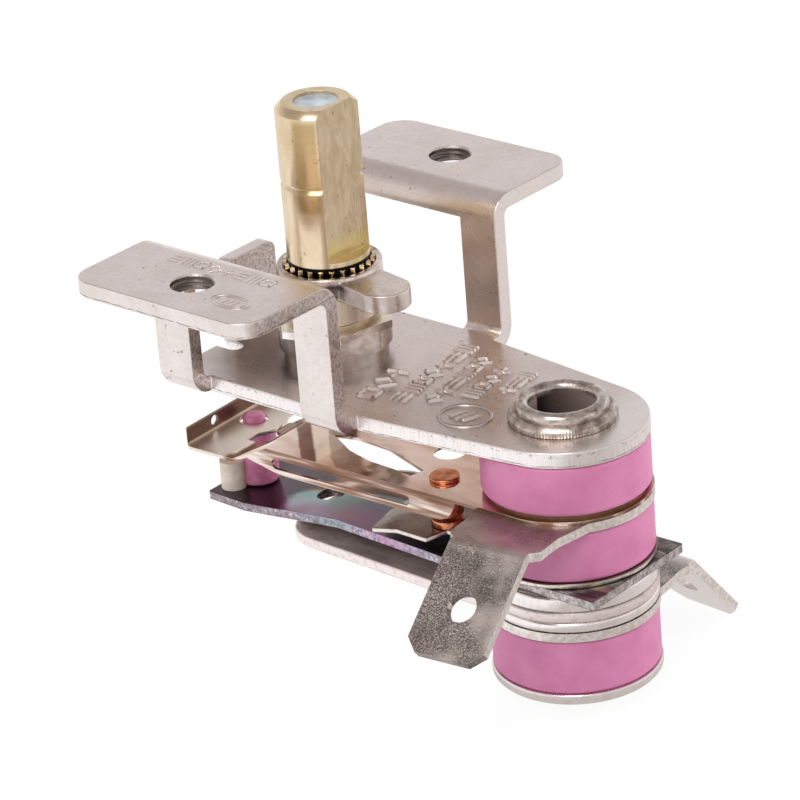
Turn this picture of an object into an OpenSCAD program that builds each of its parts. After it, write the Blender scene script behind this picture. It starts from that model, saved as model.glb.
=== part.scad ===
// Spindle thermostat for an oven: a bimetal strip opens a contact blade, and a brass spindle sets the temperature.
// The origin lies midway between the two tapped ear holes, on their top face and on the spindle's axis.
// X runs from the spindle to the rivet, Z runs up along the spindle.

/* [Bracket] */
// Thickness of the bracket's sheet
sheet_t = 1.2; // [1.0:0.05:1.5]
// Inner radius of every bend in the bracket
bend_r = 0.6; // [0.4:0.05:0.9]
// Height from the top of the plate to the top of the ears
ear_height = 10.65; // [9.5:0.05:12]
// Distance between the two ear holes
ear_hole_spacing = 28; // [26:0.5:30]
// Core diameter of the ear holes
ear_hole_d = 3.2; // [2.5:0.1:3.6]
// Length of both ears together, from tip to tip
ear_span = 35.9; // [34.4:0.1:38]
// Width of an ear
ear_w = 17; // [15:0.5:19]
// Radius of an ear's outer corners
ear_corner_r = 2; // [1:0.1:3]
// Clear width between the two walls that carry the ears
wall_gap = 17.2; // [16:0.1:18]
// Width of each of the four legs
leg_w = 3.3; // [2.8:0.1:4]
// Width of the plate just beside the legs
plate_shoulder_w = 15.2; // [13:0.2:16]
// Distance from the spindle's axis to the rivet's axis
rivet_x = 21; // [19.5:0.1:23]
// Diameter of the plate's round end
plate_end_d = 12.2; // [11.8:0.1:13]
// Width of the stop tab at the plate's square end
tab_w = 5.2; // [4:0.1:6]
// Distance from the spindle's axis to the stop tab's inner face
tab_x = 7.8; // [7.6:0.1:8]
// Height of the stop tab above the plate
tab_h = 6.3; // [6.1:0.1:6.8]

/* [Bushing] */
// Width across the flats of the bushing's hexagon
hex_flats = 8; // [7.6:0.1:8.6]
// Thickness of the hexagon
hex_t = 0.55; // [0.4:0.05:0.8]
// Diameter of the bushing's barrel
barrel_d = 8.3; // [8:0.1:9]
// Height of the barrel
barrel_h = 1.5; // [1.2:0.1:1.8]
// Diameter of the neck between the barrel and the plate
neck_d = 7.7; // [7.2:0.1:7.9]
// Height of the neck
neck_h = 1; // [0.8:0.1:1.2]
// Diameter of the shank that passes through the plate
shank_d = 6.9; // [6.6:0.1:7]
// Diameter of the staked rim under the plate
stake_d = 8.6; // [8:0.1:9]
// Height of the staked rim
stake_h = 0.8; // [0.6:0.1:1]

/* [Spindle] */
// Diameter of the spindle's upper end
spindle_d = 6; // [5.8:0.05:6.1]
// Size over the spindle's flat
spindle_over_flat = 5; // [4.8:0.05:5.3]
// Height of the spindle's tip above the ears
spindle_tip = 9; // [8:0.1:11]
// Height of the flat's lower end below the ears
flat_end = 2.5; // [2:0.1:2.8]
// Height of the spring groove above the ears
groove_z = 3.3; // [2.8:0.1:3.8]
// Width of the spring groove
groove_w = 0.5; // [0.3:0.05:0.8]
// Depth of the spring groove
groove_depth = 0.25; // [0.15:0.05:0.4]
// Diameter of the journal under the collar
journal_d = 6.9; // [6.7:0.05:7.1]
// Diameter of the threaded end that runs in the bushing
thread_d = 5.2; // [5:0.1:5.4]
// Pitch of the spindle's thread
thread_pitch = 0.8; // [0.5:0.1:1]
// Bore of the spindle's upper end
socket_d = 3.3; // [3:0.1:3.5]
// Diameter of the calibration screw in the spindle's lower bore
screw_d = 2.4; // [2:0.1:2.6]
// Chamfer at the spindle's tip
tip_chamfer = 0.5; // [0.3:0.05:0.7]
// Number of teeth of the knurl under the collar's mouth
knurl_teeth = 24; // [18:2:30]
// Radial depth of the knurl's teeth
knurl_depth = 0.35; // [0.2:0.05:0.4]
// Height of the knurl above the collar
knurl_over = 0.35; // [0.2:0.05:0.5]

/* [Stop collar] */
// Outer diameter of the collar
collar_d = 7.7; // [7.5:0.1:8.2]
// Height of the collar
collar_h = 1.7; // [1.5:0.1:1.9]
// Height of the collar's top below the ears
collar_top = 3.4; // [3.1:0.05:3.6]
// Distance from the axis to the tip of the stop lobe
lobe_reach = 8.1; // [8.05:0.05:8.4]
// Width of the stop lobe
lobe_w = 3.8; // [3.4:0.1:4.6]
// Thickness of the stop lobe
lobe_t = 1.4; // [1:0.05:1.5]
// Angle of the stop lobe from the X axis at rest
lobe_turn = -10; // [-20:1:20]

/* [Stack] */
// Outer diameter of the ceramic rings
ring_d = 12.1; // [11.6:0.1:12.6]
// Height of the upper ceramic ring
ring_upper_h = 3.75; // [3:0.05:4.5]
// Height of the middle ceramic ring
ring_middle_h = 3.85; // [3.4:0.05:4.6]
// Height of the lower ceramic ring
ring_lower_h = 4.2; // [3:0.1:5]
// Edge radius of the ceramic rings
ring_edge_r = 0.3; // [0.1:0.05:0.5]
// Outer diameter of the insulating sleeve round the rivet
sleeve_d = 7.4; // [7:0.1:7.8]
// Thickness of the mica disc above the contact blade
mica_t = 0.3; // [0.2:0.05:0.4]
// Outer diameter of the mica disc
mica_d = 11.2; // [10.6:0.1:11.4]
// Thickness of the washer under the bimetal
clamp_upper_t = 1.2; // [1.1:0.1:1.6]
// Thickness of the washer above the rear terminal
clamp_lower_t = 0.8; // [0.6:0.1:1.2]
// Thickness of the bottom washer
bottom_t = 0.9; // [0.7:0.1:1.2]
// Outer diameter of the rivet's tube
rivet_d = 5.5; // [5.3:0.1:5.7]
// Bore of the rivet
rivet_bore = 4.6; // [4:0.1:4.8]
// Diameter of the rivet's rolled rims
rivet_rim_d = 6.7; // [6.4:0.1:7]
// Height of the rivet's rolled rims
rivet_rim_h = 0.7; // [0.5:0.05:0.9]
// Outer diameter of the rivet's top washer
top_washer_d = 7.8; // [7.4:0.1:8.4]
// Thickness of the rivet's top washer
top_washer_t = 0.8; // [0.6:0.05:1]

/* [Contact blade] */
// Thickness of the contact blade's sheet
blade_t = 0.25; // [0.2:0.05:0.35]
// Width of the contact blade
blade_w = 12.2; // [11.6:0.1:12.6]
// Depth of the blade's side flanges
flange_h = 1.75; // [1.5:0.05:1.9]
// Width of the slot in each flange
flange_slot_w = 0.8; // [0.6:0.05:0.9]
// Distance from the spindle's axis to the blade's free end
blade_reach = 9.5; // [9.3:0.1:9.8]
// Drop of the blade's free end below its clamped end
blade_drop = 1.6; // [1:0.1:1.8]
// Height of the lip at the blade's free end
lip_h = 1.35; // [0.8:0.05:1.6]
// Diameter of the hole in the lip
lip_hole_d = 0.8; // [0.5:0.1:0.9]
// Width of the tongue under the spindle
tongue_w = 3.2; // [2.8:0.1:3.6]
// Width of the blade's side rails
rail_w = 1.5; // [1.2:0.1:1.8]
// Distance from the rivet's axis to the blade's windows
window_out = 10.2; // [9.8:0.1:11]
// Distance from the rivet's axis to the flanges' ends
flange_out = 5.4; // [5:0.1:6.4]
// Angle about the rivet by which the blade stands off the centre line
blade_turn = 2.5; // [0:0.1:3]

/* [Bimetal] */
// Thickness of the bimetal strip
bimetal_t = 0.7; // [0.5:0.05:0.8]
// Width of the bimetal strip
bimetal_w = 10.5; // [10:0.1:11.4]
// Width of the bimetal's tapered tip
bimetal_tip_w = 7.4; // [7:0.1:8.6]
// Distance from the spindle's axis to the bimetal's free end
bimetal_reach = 9.9; // [9.8:0.1:10.4]
// Drop of the bimetal's tip below its clamped end
bimetal_drop = 1.35; // [0.8:0.05:1.5]
// Distance from the rivet's axis to the bimetal's clamped end
bimetal_tail = 6.2; // [6.1:0.1:7]
// Angle about the rivet by which the bimetal stands off the centre line
bimetal_turn = 1.3; // [0:0.1:2]
// Distance of the bimetal's centre line from the rivet's axis
bimetal_y = 0.4; // [0:0.05:0.5]
// Diameter of the ceramic bead
bead_d = 3.1; // [2.8:0.1:3.2]
// Diameter of the bead's tip in the blade's hole
bead_tip_d = 1.7; // [1.4:0.1:1.8]
// Distance of the bead's axis from the blade's free end
bead_in = 1.6; // [1.5:0.1:2.2]
// Clearance of the bead's body under the blade
bead_slack = 0.3; // [0.1:0.05:0.5]
// Clearance of the bead's tip in the blade's hole, on the radius
bead_clear = 0.25; // [0.15:0.05:0.3]
// Thickness of the support strip under the bimetal
support_t = 0.8; // [0.5:0.05:0.9]
// Width of the support strip
support_w = 12.8; // [12:0.1:13.2]
// Distance from the rivet's axis to the support strip's free end
support_len = 22.4; // [21:0.1:23]
// Rise of the support strip's free end
support_rise = 0.4; // [0.2:0.05:0.45]

/* [Contacts] */
// Thickness of the fixed contact's arm
arm_t = 0.4; // [0.3:0.05:0.5]
// Width of the fixed contact's arm
arm_w = 13.2; // [12.6:0.1:13.4]
// Distance from the rivet's axis to the arm's tip
arm_len = 14; // [13:0.1:15]
// Height of the arm's bow above its clamped end
arm_rise = 1.25; // [1:0.05:1.4]
// Distance from the rivet's axis to the contact pair
contact_out = 8.1; // [8:0.1:8.6]
// Distance of the contact pair from the centre line
contact_y = 3.6; // [3:0.1:3.8]
// Diameter of the contact buttons
contact_d = 2.4; // [2:0.1:2.6]
// Thickness of the fixed contact's button
button_t = 0.6; // [0.4:0.05:0.8]
// Gap between the open contacts
contact_gap = 0.3; // [0.1:0.05:0.5]
// Diameter of the moving contact's riveted head
head_d = 2.2; // [2:0.1:2.6]
// Thickness of the riveted head
head_t = 0.3; // [0.2:0.05:0.4]
// Diameter of the moving contact's shank
shank_pin_d = 1.5; // [1.2:0.1:1.8]

/* [Terminals] */
// Thickness of the terminals
terminal_t = 0.7; // [0.6:0.05:0.8]
// Width of a terminal's blade
tab_blade_w = 6.2; // [4.8:0.1:6.6]
// Width of the strip that carries a terminal's blade
tab_strip_w = 7.4; // [7:0.1:8]
// Length of a terminal's blade
terminal_len = 8.6; // [7.6:0.1:9]
// Diameter of the hole in a terminal's blade
terminal_hole_d = 2.2; // [1.4:0.1:2.4]
// Distance from the blade's end to the middle of its hole
terminal_hole_in = 3.9; // [3.2:0.1:4.4]
// Corner chamfer of a terminal's blade
terminal_chamfer = 1; // [0.6:0.1:1.6]
// Outer radius of a terminal's bend
terminal_bend_r = 1.1; // [0.9:0.1:1.6]
// Distance from the rivet's axis to the front terminal's bend
front_out = 10.3; // [9:0.1:11]
// Slope of the front terminal's blade below the horizontal
front_slope = 39.5; // [30:0.5:70]
// Angle about the rivet of the front terminal from square
front_turn = 6.5; // [-10:0.5:10]
// Distance from the rivet's axis to the rear terminal's bend
rear_out = 9.2; // [8.8:0.1:11]
// Slope of the rear terminal's blade below the horizontal
rear_slope = 50; // [30:0.5:60]
// Angle about the rivet of the rear terminal from square
rear_turn = -4; // [-10:0.5:10]

/* [Push pin] */
// Diameter of the ceramic push pin
pin_d = 2.4; // [2:0.1:2.6]
// Length of the push pin inside the spindle
pin_grip = 2; // [1:0.1:3]
// Clearance between the push pin and the blade's tongue
pin_gap = 0.45; // [0.4:0.01:0.5]

/* [Hidden] */
$fn = 96;

// Clearances on the radius: a running fit and a loose assembly fit
run_fit = 0.05;
loose_fit = 0.1;
// A cut runs this far past the face that it opens
cut = 1;

// Heights of the bracket
plate_top = -ear_height;
plate_bottom = plate_top - sheet_t;
bend_out = bend_r + sheet_t;
wall_in = wall_gap / 2;
wall_out = wall_in + sheet_t;
half_w = ear_w / 2;
tab_out = tab_x + sheet_t;
tab_top = plate_top + tab_h;
plate_end_r = plate_end_d / 2;
sill_y = wall_in - bend_r;

// Levels of the stack, from the plate down; each is the top face of its layer
z_mica = plate_bottom - ring_upper_h;
z_blade = z_mica - mica_t;
z_front = z_blade - blade_t;
z_ring_middle = z_front - terminal_t;
z_arm = z_ring_middle - ring_middle_h;
z_bimetal = z_arm - arm_t;
z_clamp_upper = z_bimetal - bimetal_t;
z_support = z_clamp_upper - clamp_upper_t;
z_clamp_lower = z_support - support_t;
z_rear = z_clamp_lower - clamp_lower_t;
z_ring_lower = z_rear - terminal_t;
z_bottom = z_ring_lower - ring_lower_h;
z_end = z_bottom - bottom_t;
layer_bore = sleeve_d + 2 * loose_fit;
tube_bore = rivet_d + 2 * loose_fit;
layer_over = 0.1;
layer_d = ring_d + 2 * layer_over;
layer_r = layer_d / 2;
// Strips start beyond the rivet and are trimmed by their plan outline
strip_start = rivet_x + layer_d;

// Heights of the bushing, the spindle and the collar
neck_top = plate_top + neck_h;
barrel_top = neck_top + barrel_h;
hex_top = barrel_top + hex_t;
stake_bottom = plate_bottom - stake_h;
collar_bottom = -collar_top - collar_h;
// The spindle screws down by less than this gap before its collar meets the stop tab
screw_in_gap = 0.42;
journal_bottom = hex_top + screw_in_gap;
thread_bottom = stake_bottom - 0.3;
socket_floor = -collar_top - 1;
screw_top = socket_floor - 0.6;
lower_bore = pin_d + 2 * run_fit;

// Shape of the contact blade, in X and in Z
blade_z = z_blade - blade_t / 2;
ramp_start = -1.5;
ramp_end = -blade_reach + 4.6;
pad_z = z_blade - blade_drop;
blade_path = [[strip_start, blade_z], [ramp_start, blade_z], [ramp_end, blade_z - blade_drop],
              [-blade_reach, blade_z - blade_drop], [-blade_reach, blade_z - blade_drop + lip_h]];
pin_tip = z_blade + pin_gap;
pin_top = thread_bottom + pin_grip;

// Shape of the bimetal, the fixed arm and the support strip
bimetal_z = z_bimetal - bimetal_t / 2;
bimetal_root = rivet_x - 7;
bimetal_bend = 3.5;
bimetal_tip_start = -bimetal_reach + 3.7;
bimetal_path = [[strip_start, bimetal_z], [bimetal_bend, bimetal_z],
                [bimetal_tip_start, bimetal_z - bimetal_drop], [-bimetal_reach, bimetal_z - bimetal_drop]];
bead_seat = z_bimetal - bimetal_drop;
bead_x = -blade_reach + bead_in;
arm_z = z_arm - arm_t / 2;
arm_dip = 0.8;
contact_x = rivet_x - contact_out;
arm_tip_x = rivet_x - arm_len;
arm_bow = z_arm + arm_rise;
arm_path = [[strip_start, arm_z], [rivet_x - layer_r, arm_z], [contact_x + contact_d / 2, arm_z + arm_rise],
            [contact_x - contact_d, arm_z + arm_rise], [arm_tip_x, arm_z + arm_rise - arm_dip]];
support_z = z_support - support_t / 2;
support_path = [[strip_start, support_z], [rivet_x - layer_r, support_z],
                [rivet_x - support_len, support_z + support_rise]];

module ring(outer, inner, z, h) {
    translate([0, 0, z]) difference() {
        cylinder(h = h, d = outer);
        translate([0, 0, -cut]) cylinder(h = h + 2 * cut, d = inner);
    }
}

// A layer of the stack hangs below its level z and is centred on the rivet
module at_rivet(z) {
    translate([rivet_x, 0, z]) children();
}

// Turns its children about the rivet's axis
module turned(angle) {
    translate([rivet_x, 0, 0]) rotate(angle) translate([-rivet_x, 0, 0]) children();
}

// A plate below level z, drawn as a flat outline
module sheet(z, t) {
    translate([0, 0, z - t]) linear_extrude(t) children();
}

// The unit vector along v
function unit(v) = v / norm(v);

// The points at distance d to the left of a path, mitred at its bends
function beside(path, d) = [
    for (i = [0 : len(path) - 1])
        let (last = len(path) - 1, u = unit(path[max(i, 1)] - path[max(i, 1) - 1]),
             v = unit(path[min(i, last - 1) + 1] - path[min(i, last - 1)]), w = u + v)
            path[i] + 2 * d * [-w[1], w[0]] / (w * w)
];

// A strip that follows a path in the XZ plane, t thick, trimmed by the plan outline of its children
module bent_strip(path, t) {
    left = beside(path, t / 2);
    right = beside(path, -t / 2);
    intersection() {
        rotate([90, 0, 0]) linear_extrude(2 * layer_d, center = true)
            polygon(concat(left, [for (i = [len(right) - 1 : -1 : 0]) right[i]]));
        translate([0, 0, z_end - terminal_len]) linear_extrude(terminal_len - z_end) children();
    }
}

// A closed outline from its half above the X axis
function both_sides(half) = concat(half, [for (i = [len(half) - 1 : -1 : 0]) [half[i][0], -half[i][1]]]);

module mirror_copy(axis) {
    children();
    mirror(axis) children();
}

// A square corner cutter at the origin that leaves a corner of radius r, towards +X and +Y
module corner_cutter(r) {
    difference() {
        square(r + cut);
        circle(r = r, $fn = 64);
    }
}

// A quarter bend of the sheet from x0 to x1, round the X axis, turned to a quadrant of the YZ plane
module quarter_bend(x0, x1, turn) {
    translate([x0, 0, 0]) rotate([90, 0, 90]) linear_extrude(x1 - x0) rotate(turn) intersection() {
        difference() {
            circle(r = bend_out, $fn = 64);
            circle(r = bend_r, $fn = 64);
        }
        square(bend_out);
    }
}

module plate_outline() {
    shoulder_y = plate_shoulder_w / 2;
    theta = asin((shoulder_y - plate_end_r) / (rivet_x - half_w));
    tangent = [rivet_x + plate_end_r * sin(theta), plate_end_r * cos(theta)];
    notch = 1.2;
    difference() {
        union() {
            translate([rivet_x, 0]) circle(r = plate_end_r);
            polygon([[0, -shoulder_y], [half_w, -shoulder_y], [tangent[0], -tangent[1]], tangent,
                     [half_w, shoulder_y], [0, shoulder_y]]);
            translate([-half_w, -sill_y]) square([2 * half_w, 2 * sill_y]);
        }
        translate([rivet_x, 0]) circle(d = layer_bore);
        circle(d = shank_d);
        // The stop tab's bend takes the middle of the square end, with a relief notch on each side
        translate([-half_w - cut, -tab_w / 2 - notch]) square([cut + half_w - tab_x + bend_r, tab_w + 2 * notch]);
        for (s = [-1, 1]) translate([-tab_x + bend_r, s * (tab_w + notch) / 2]) circle(d = notch, $fn = 48);
    }
}

module ear_outline() {
    root_y = wall_out + bend_r;
    difference() {
        translate([-half_w, root_y]) square([ear_w, ear_span / 2 - root_y]);
        mirror_copy([1, 0]) translate([half_w - ear_corner_r, ear_span / 2 - ear_corner_r])
            corner_cutter(ear_corner_r);
        translate([0, ear_hole_spacing / 2]) circle(d = ear_hole_d);
    }
}

// One ear on the +Y side with its wall and legs
module ear_side() {
    leg_bottom = plate_bottom + bend_out;
    header = 0.25;
    sheet(0, sheet_t) ear_outline();
    translate([0, wall_out + bend_r, -bend_out]) quarter_bend(-half_w, half_w, 90);
    translate([-half_w, wall_in, -bend_out - header]) cube([ear_w, sheet_t, header]);
    for (x0 = [-half_w, half_w - leg_w]) {
        translate([x0, wall_in, leg_bottom]) cube([leg_w, sheet_t, -bend_out - leg_bottom]);
        translate([0, wall_in - bend_r, leg_bottom]) quarter_bend(x0, x0 + leg_w, 270);
    }
}

module stop_tab() {
    corner_r = 0.7;
    foot = plate_bottom + bend_out;
    translate([-tab_out, 0, foot]) rotate([90, 0, 90]) linear_extrude(sheet_t) difference() {
        translate([-tab_w / 2, 0]) square([tab_w, tab_top - foot]);
        mirror_copy([1, 0]) translate([tab_w / 2 - corner_r, tab_top - foot - corner_r]) corner_cutter(corner_r);
    }
    translate([-tab_x + bend_r, 0, foot]) rotate([0, 0, 90]) quarter_bend(-tab_w / 2, tab_w / 2, 270);
}

// Bracket: plate, two ears on two legs each, stop tab
module mounting_bracket() {
    color("silver") {
        sheet(plate_top, sheet_t) plate_outline();
        ear_side();
        mirror([0, 1, 0]) ear_side();
        stop_tab();
    }
}

// Bushing: turned, with a hexagon, staked into the plate
module bushing() {
    r = stake_d / 2;
    bevel = stake_h / 2;
    color("gainsboro") difference() {
        union() {
            translate([0, 0, barrel_top]) rotate(17) cylinder(h = hex_t, d = hex_flats / cos(30), $fn = 6);
            translate([0, 0, neck_top]) cylinder(h = barrel_h, d = barrel_d);
            translate([0, 0, plate_top]) cylinder(h = neck_h, d = neck_d);
            translate([0, 0, plate_bottom]) cylinder(h = sheet_t, d = shank_d);
            translate([0, 0, stake_bottom]) rotate_extrude()
                polygon([[0, 0], [r - bevel, 0], [r, bevel], [r, stake_h], [0, stake_h]]);
        }
        translate([0, 0, stake_bottom - cut])
            cylinder(h = hex_top - stake_bottom + 2 * cut, d = thread_d + 2 * run_fit);
    }
}

// Spindle: brass, with a flat, a spring groove, a knurl for the collar and a threaded end
module spindle() {
    r = spindle_d / 2;
    shank_end = -collar_top - groove_z;
    tip_end = spindle_tip - groove_z;
    color("darkkhaki") difference() {
        union() {
            rotate_extrude() translate([0, groove_z])
                polygon([[0, shank_end], [r, shank_end], [r, -groove_w], [r - groove_depth, -groove_w / 2],
                    [r - groove_depth, 0], [r, 0], [r, tip_end - tip_chamfer], [r - tip_chamfer, tip_end],
                    [0, tip_end]]);
            translate([0, 0, collar_bottom]) knurl();
            translate([0, 0, journal_bottom]) cylinder(h = collar_bottom - journal_bottom, d = journal_d);
            translate([0, 0, thread_bottom]) cylinder(h = journal_bottom - thread_bottom, d = thread_d);
        }
        translate([spindle_over_flat - r, -r - cut, -flat_end])
            cube([2 * r, 2 * r + 2 * cut, spindle_tip + flat_end + cut]);
        translate([0, 0, socket_floor]) cylinder(h = spindle_tip - socket_floor + cut, d = socket_d);
        translate([0, 0, thread_bottom - cut]) cylinder(h = socket_floor - thread_bottom + 2 * cut, d = lower_bore);
    }
}

// Straight knurl that drives the collar: a core with triangular teeth round it
module knurl() {
    core_r = spindle_d / 2;
    pitch = 360 / knurl_teeth;
    half_tooth = core_r * sin(pitch / 2);
    linear_extrude(collar_h + knurl_over) {
        circle(r = core_r);
        for (i = [0 : knurl_teeth - 1]) rotate(i * pitch)
            polygon([[core_r - 0.15, -half_tooth], [core_r + knurl_depth, 0], [core_r - 0.15, half_tooth]]);
    }
}

// Collar pressed on the knurl, with the lobe that meets the stop tab
module stop_collar() {
    color("lightgray") difference() {
        union() {
            translate([0, 0, collar_bottom]) cylinder(h = collar_h, d = collar_d);
            rotate(lobe_turn) sheet(collar_bottom + lobe_t, lobe_t) {
                translate([lobe_reach - lobe_w / 2, 0]) circle(d = lobe_w, $fn = 64);
                translate([0, -lobe_w / 2]) square([lobe_reach - lobe_w / 2, lobe_w]);
            }
        }
        translate([0, 0, collar_bottom - cut]) cylinder(h = collar_h + 2 * cut, d = spindle_d + 2 * knurl_depth);
    }
}

// Calibration screw in the spindle's lower bore, slotted for a screwdriver
module calibration_screw() {
    slot_w = 0.5;
    slot_depth = 0.7;
    color("darkgoldenrod") difference() {
        translate([0, 0, pin_top]) cylinder(h = screw_top - pin_top, d = screw_d);
        translate([-screw_d, -slot_w / 2, screw_top - slot_depth]) cube([2 * screw_d, slot_w, slot_depth + cut]);
    }
}

// Sealing compound that closes the spindle's socket
module socket_seal() {
    seal_h = 2;
    color("lightslategray") translate([0, 0, spindle_tip - 0.25 - seal_h]) cylinder(h = seal_h, d = socket_d);
}

// Ceramic pin between the calibration screw and the blade's tongue
module push_pin() {
    r = pin_d / 2;
    nose = 0.5;
    color("white") translate([0, 0, pin_tip]) rotate_extrude()
        polygon([[0, 0], [r - nose, 0], [r, nose], [r, pin_top - pin_tip], [0, pin_top - pin_tip]]);
}

// Rivet with a rolled rim at each end
module hollow_rivet() {
    rim_top = plate_top + top_washer_t;
    color("lightgray") at_rivet(0) {
        ring(rivet_d, rivet_bore, z_end, rim_top - z_end);
        translate([0, 0, rim_top]) rivet_rim();
        translate([0, 0, z_end]) mirror([0, 0, 1]) rivet_rim();
    }
}

// Rolled lip: a round bead that runs from the bore to the rim's edge
module rivet_rim() {
    roll = (rivet_rim_d - rivet_bore) / 4;
    middle = rivet_rim_d / 2 - roll;
    rotate_extrude() {
        intersection() {
            translate([middle, rivet_rim_h - roll]) circle(r = roll, $fn = 32);
            translate([middle - roll, 0]) square([2 * roll, rivet_rim_h]);
        }
        translate([middle - roll, 0]) square([2 * roll, rivet_rim_h - roll]);
    }
}

module rivet_washer() {
    r = top_washer_d / 2;
    bevel = 0.35;
    color("silver") at_rivet(plate_top) difference() {
        rotate_extrude()
            polygon([[0, 0], [r, 0], [r, top_washer_t - bevel], [r - bevel, top_washer_t], [0, top_washer_t]]);
        translate([0, 0, -cut]) cylinder(h = top_washer_t + 2 * cut, d = tube_bore);
    }
}

module insulating_sleeve() {
    color("tan") at_rivet(0) ring(sleeve_d, tube_bore, z_bottom, plate_top - z_bottom);
}

module ceramic_ring(z, h) {
    r = ring_d / 2;
    e = ring_edge_r;
    color("orchid") at_rivet(z - h) difference() {
        rotate_extrude() {
            polygon([[0, 0], [r - e, 0], [r, e], [r, h - e], [r - e, h], [0, h]]);
            translate([r - e, e]) circle(r = e, $fn = 32);
            translate([r - e, h - e]) circle(r = e, $fn = 32);
        }
        translate([0, 0, -cut]) cylinder(h = h + 2 * cut, d = layer_bore);
    }
}

module ring_upper() {
    ceramic_ring(plate_bottom, ring_upper_h);
}

module ring_middle() {
    ceramic_ring(z_ring_middle, ring_middle_h);
}

module ring_lower() {
    ceramic_ring(z_ring_lower, ring_lower_h);
}

module mica_disc() {
    color("saddlebrown") at_rivet(0) ring(mica_d, layer_bore, z_blade, mica_t);
}

module layer_hole() {
    translate([rivet_x, 0]) circle(d = layer_bore);
}

// Round root of a strip, centred on the rivet
module root_disc() {
    translate([rivet_x, 0]) circle(d = layer_d);
}

// Contact blade: a sprung frame with side flanges, a lip at its free end and a bridge under the push pin
module blade_outline() {
    w = blade_w / 2;
    rail_in = w - rail_w;
    tongue = tongue_w / 2;
    window_end = rivet_x - window_out;
    locating_x = rivet_x - 10.4;
    corner_r = 1;
    difference() {
        union() {
            root_disc();
            translate([-blade_reach - blade_t, -w]) square([rivet_x + blade_reach + blade_t, 2 * w]);
        }
        layer_hole();
        // Windows between the tongue and the side rails
        mirror_copy([0, 1]) polygon([[window_end - 9.4, tongue + 0.2], [window_end - 7.6, tongue - 0.3],
            [window_end - 4.4, tongue], [window_end - 1.8, tongue + 1], [window_end, tongue + 1.7],
            [window_end - 0.3, rail_in - 0.1], [window_end - 2, rail_in - 0.4], [window_end - 4.4, rail_in - 0.6],
            [window_end - 6.8, rail_in - 1.3]]);
        // Windows between the ramp and the free end
        mirror_copy([0, 1]) polygon([[ramp_end - 1.2, 3], [ramp_end - 1.1, 1.8], [ramp_end - 0.4, 0.6],
            [ramp_start - 1.8, 2.2], [ramp_start - 1.9, 3.2]]);
        translate([locating_x, 0]) circle(d = 2.4, $fn = 48);
        translate([bead_x, 0]) circle(d = bead_tip_d + 2 * bead_clear, $fn = 48);
        mirror_copy([0, 1]) mirror([1, 0]) translate([blade_reach + blade_t - corner_r, w - corner_r])
            corner_cutter(corner_r);
    }
}

// Side flange in the XZ plane, below the sheet's middle plane, with a slot and a round end
module flange_outline() {
    start = ramp_end + 1.2;
    full = ramp_start + 1;
    end = rivet_x - flange_out;
    slot_z = flange_h * 0.54;
    slot_start = ramp_start + 0.8;
    slot_end = end - 4.4;
    dip = (ramp_start - start) / (ramp_start - ramp_end) * blade_drop;
    difference() {
        polygon([[start, -dip], [ramp_start, 0], [end, 0], [end, -flange_h], [full, -flange_h]]);
        translate([end - flange_h, 0]) mirror([0, 1]) corner_cutter(flange_h);
        for (x = [slot_start, slot_end]) translate([x, -slot_z]) circle(d = flange_slot_w, $fn = 32);
        translate([slot_start, -slot_z - flange_slot_w / 2]) square([slot_end - slot_start, flange_slot_w]);
    }
}

module contact_blade() {
    lip_y = -2.7;
    color("rosybrown") turned(blade_turn) {
        difference() {
            bent_strip(blade_path, blade_t) blade_outline();
            translate([contact_x, -contact_y, z_front - cut]) cylinder(h = blade_t + 2 * cut, d = shank_pin_d);
            translate([-blade_reach - cut, lip_y, pad_z + lip_h / 2]) rotate([0, 90, 0])
                cylinder(h = 2 * cut, d = lip_hole_d, $fn = 48);
        }
        mirror_copy([0, 1, 0]) translate([0, -blade_w / 2 + blade_t, blade_z]) rotate([90, 0, 0])
            linear_extrude(blade_t) flange_outline();
    }
}

// Contact rivet: a head above the blade, a shank through it and a button below
module moving_contact() {
    button_bottom = arm_bow + button_t + contact_gap;
    color("peru") turned(blade_turn) translate([contact_x, -contact_y, 0]) {
        translate([0, 0, z_blade]) cylinder(h = head_t, d = head_d);
        translate([0, 0, z_front]) cylinder(h = blade_t, d = shank_pin_d);
        translate([0, 0, button_bottom]) cylinder(h = z_front - button_bottom, d = contact_d);
    }
}

// Arm that carries the fixed contact: clamped at its round root and bowed up to the contact
module fixed_arm() {
    w = arm_w / 2;
    point = 1.1;
    throat_x = rivet_x - 4;
    throat_y = layer_r - 1.6;
    wing_end = contact_x + 0.3;
    color("lightgray") {
        at_rivet(0) ring(layer_d, layer_bore, z_bimetal, arm_t);
        bent_strip(arm_path, arm_t) polygon(both_sides([[arm_tip_x, w / 2], [arm_tip_x + point, w], [wing_end, w],
            [wing_end + 0.5, w - 1.8], [throat_x, throat_y]]));
    }
}

module fixed_contact() {
    color("peru") turned(blade_turn) translate([contact_x, -contact_y, arm_bow]) cylinder(h = button_t, d = contact_d);
}

module bimetal() {
    w = bimetal_w / 2;
    tip_w = bimetal_tip_w / 2;
    color("cadetblue") bent_strip(bimetal_path, bimetal_t) difference() {
        turned(bimetal_turn) translate([0, -bimetal_y]) difference() {
            polygon(both_sides([[-bimetal_reach, tip_w], [bimetal_root, w], [rivet_x + bimetal_tail, w]]));
            translate([-0.4, -0.6]) circle(d = 2.2, $fn = 48);
        }
        layer_hole();
    }
}

// Ceramic bead: a body on the bimetal's tip and a nipple in the blade's hole
module bead() {
    body_top = pad_z - blade_t - bead_slack;
    nipple = 0.5;
    color("hotpink") turned(blade_turn) translate([bead_x, 0, bead_seat]) {
        cylinder(h = body_top - bead_seat, d = bead_d);
        cylinder(h = pad_z + nipple - bead_seat, d = bead_tip_d);
    }
}

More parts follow.
